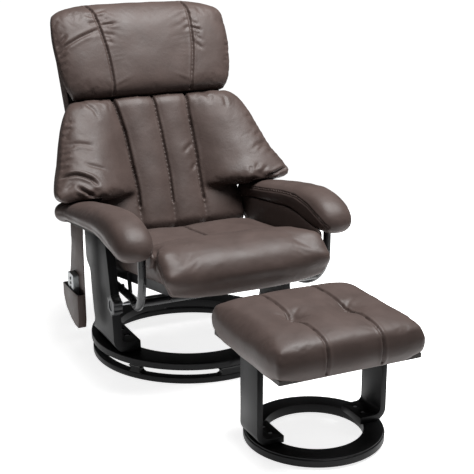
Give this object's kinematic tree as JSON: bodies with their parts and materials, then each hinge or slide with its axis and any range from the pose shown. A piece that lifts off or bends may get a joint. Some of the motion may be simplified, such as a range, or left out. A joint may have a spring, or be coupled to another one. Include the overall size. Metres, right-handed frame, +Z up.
{
  "type": "massage recliner",
  "caption": "Swivel recliner with padded back, headrest, armrests and side pocket with a remote, on a ring base, with a matching padded footstool.",
  "frame": {"origin": "on the floor, at the swivel axis of the chair", "axes": "+Z up, the sitter faces -Y, +X is the sitter's left"},
  "size_m": [0.75, 1.3835, 1.0006],
  "materials": {
    "brown_leather": "smooth with a soft sheen",
    "black_wood": "black satin lacquer",
    "steel": "zinc plated",
    "black_steel": "black semi-gloss",
    "black_plastic": "fine grain",
    "silver_plastic": "silver-grey satin",
    "plywood": "plywood, stained dark",
    "dark_fabric": "thin nonwoven"
  },
  "bodies": {
    "base": {"floor_ring": "black_wood", "ring_stations": "black_wood", "slide_pads": "black_plastic"},
    "turntable": {"turning_ring": "black_wood", "swivel_track": "steel", "leg_right": "black_wood", "leg_left": "black_wood", "foot_screws": "steel", "side_tube_right": "black_steel", "side_tube_left": "black_steel", "cross_tubes": "black_steel", "leg_bushes": "black_plastic", "leg_bolts": "steel", "seat_rails": "black_wood", "seat_board": "plywood", "seat_tabs": "black_steel", "seat_saddles": "black_steel", "seat_cushion": "brown_leather", "seat_motors": "black_plastic", "control_box": "black_plastic", "power_inlet": "black_plastic", "dust_cover": "dark_fabric", "arm_board_right": "plywood", "arm_board_left": "plywood", "armrest_right": "brown_leather", "armrest_left": "brown_leather", "arm_panel_right": "brown_leather", "arm_panel_left": "brown_leather", "hinge_plates": "black_steel", "hinge_pins": "steel", "lock_guide": "black_steel", "lock_nut": "steel", "side_pocket": "brown_leather"},
    "back": {"back_board": "plywood", "back_brackets": "black_steel", "lever_pin": "steel", "back_motors": "black_plastic", "rear_shell": "brown_leather", "back_cushion": "brown_leather", "headrest": "brown_leather"},
    "lock_bar": {"recline_bar": "steel"},
    "knob": {"knob_grip": "black_plastic", "knob_bezel": "silver_plastic", "knob_stud": "steel"},
    "remote": {"remote_shell": "silver_plastic"},
    "key_1": {"button_1": "black_plastic"},
    "key_2": {"button_2": "black_plastic"},
    "key_3": {"button_3": "black_plastic"},
    "key_4": {"button_4": "black_plastic"},
    "key_5": {"button_5": "black_plastic"},
    "footstool": {"stool_ring": "black_wood", "stool_glides": "black_plastic", "stool_leg_right": "black_wood", "stool_leg_left": "black_wood", "stool_screws": "steel", "stool_cleats": "black_wood", "stool_board": "plywood", "stool_cushion": "brown_leather"}
  },
  "joints": [
    {"name": "swivel", "type": "hinge", "parent": "base", "child": "turntable", "pos_m": [0, 0, 0], "axis": [0, 0, 1], "continuous": true},
    {"name": "recline", "type": "hinge", "parent": "turntable", "child": "back", "pos_m": [0, 0.175, 0.3], "axis": [-1, 0, 0], "range_deg": [0, 35]},
    {"name": "bar_slide", "type": "slide", "parent": "turntable", "child": "lock_bar", "axis": [0, -1, 0], "range_m": [0, 0.0458]},
    {"name": "knob_turn", "type": "hinge", "parent": "turntable", "child": "knob", "pos_m": [-0.29, -0.15, 0.22576], "axis": [-1, 0, 0], "range_deg": [0, 270]},
    {"name": "remote_lift", "type": "slide", "parent": "turntable", "child": "remote", "axis": [0, 0, 1], "range_m": [0, 0.11]},
    {"name": "key_1_press", "type": "slide", "parent": "remote", "child": "key_1", "axis": [1, 0, 0], "range_m": [0, 0.001], "stiffness_N_per_m": 400},
    {"name": "key_2_press", "type": "slide", "parent": "remote", "child": "key_2", "axis": [1, 0, 0], "range_m": [0, 0.001], "stiffness_N_per_m": 400},
    {"name": "key_3_press", "type": "slide", "parent": "remote", "child": "key_3", "axis": [1, 0, 0], "range_m": [0, 0.001], "stiffness_N_per_m": 400},
    {"name": "key_4_press", "type": "slide", "parent": "remote", "child": "key_4", "axis": [1, 0, 0], "range_m": [0, 0.001], "stiffness_N_per_m": 400},
    {"name": "key_5_press", "type": "slide", "parent": "remote", "child": "key_5", "axis": [1, 0, 0], "range_m": [0, 0.001], "stiffness_N_per_m": 400},
    {"name": "stool_place", "type": "slide", "parent": "base", "child": "footstool", "axis": [0, -1, 0], "range_m": [0, 0.35]}
  ],
  "couplings": [
    {"joint": "bar_slide", "follows": "recline", "m_per_rad": 0.074824}
  ]
}
